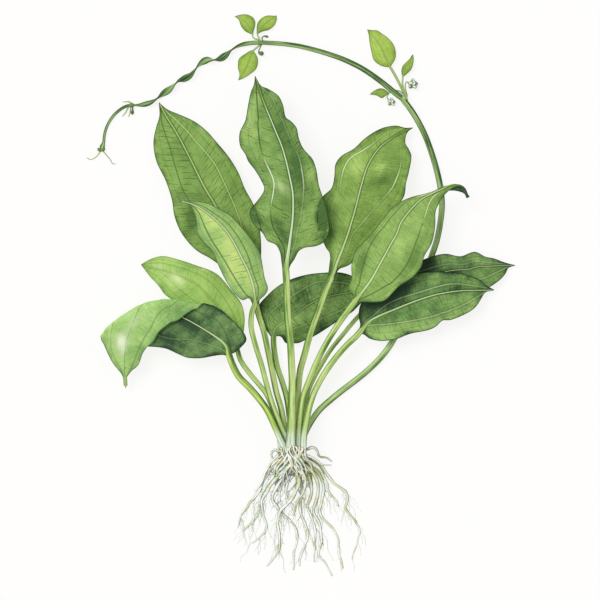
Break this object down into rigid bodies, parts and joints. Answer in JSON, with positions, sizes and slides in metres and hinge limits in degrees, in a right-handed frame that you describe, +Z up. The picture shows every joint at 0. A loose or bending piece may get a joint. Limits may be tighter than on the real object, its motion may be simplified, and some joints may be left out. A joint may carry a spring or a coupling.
{
  "type": "broad-leaved rosette water plant",
  "caption": "Uprooted rosette water plant lying flat: broad veined leaves on long petioles, a long arching flower stalk with small whorls, and a pale root tuft",
  "frame": {"origin": "middle of the flat underside of the crown, on the surface the plant lies on", "axes": "+Z up off the surface; +Y from the roots to the leaf tips; +X to the right seen from above with the leaves up"},
  "size_m": [0.4286, 0.5618, 0.0449],
  "materials": {
    "leaf_mid": "satin leaf skin, raised veins",
    "leaf_olive": "satin leaf skin, raised veins",
    "leaf_light": "satin leaf skin, raised veins",
    "leaf_bright": "satin leaf skin, raised veins",
    "leaf_dark": "satin leaf skin, raised veins",
    "stalk": "satin, finely ridged",
    "whorl_leaf": "satin leaf skin",
    "bud": "satin",
    "bract": "satin",
    "crown": "matt, fibrous",
    "root": "matt"
  },
  "bodies": {
    "root": {"crown": "crown", "leaf_centre": "leaf_mid", "leaf_upper_right": "leaf_olive", "leaf_right_mid": "leaf_light", "leaf_mid_left": "leaf_light", "leaf_upper_left": "leaf_mid", "leaf_right_low": "leaf_dark", "leaf_right_back": "leaf_dark", "leaf_low_centre": "leaf_dark", "leaf_left_up": "leaf_bright", "leaf_left_fold": "leaf_bright", "stalk_lower": "stalk", "stalk_arch": "stalk", "stalk_twist": "stalk", "stalk_end": "stalk", "whorl1_leaf_big": "whorl_leaf", "whorl1_leaf_right": "whorl_leaf", "whorl1_leaf_left": "whorl_leaf", "whorl2_leaf_left": "whorl_leaf", "whorl2_leaf_right": "whorl_leaf", "whorl2_leaf_low": "whorl_leaf", "whorl1_buds_right": "bud", "whorl1_buds_left": "bud", "whorl2_bud_upper": "bud", "whorl2_bud_low": "bud", "whorl3_bud": "bud", "whorl3_bract_upper": "bract", "whorl3_bract_left": "bract", "whorl3_bract_mid": "bract", "tip_tendril_left": "bract", "tip_tendril_right": "bract", "root_loop_left": "root", "root_left_high": "root", "root_left_outer": "root", "root_left_mid": "root", "root_left_inner": "root", "root_mid_left": "root", "root_short_left": "root", "root_short_mid": "root", "root_sweep": "root", "root_bend": "root", "root_mid": "root", "root_mid_right": "root", "root_long": "root", "root_right_inner": "root", "root_right_mid": "root", "root_right_outer": "root", "root_right_high": "root", "root_loop_right": "root"}
  },
  "joints": []
}
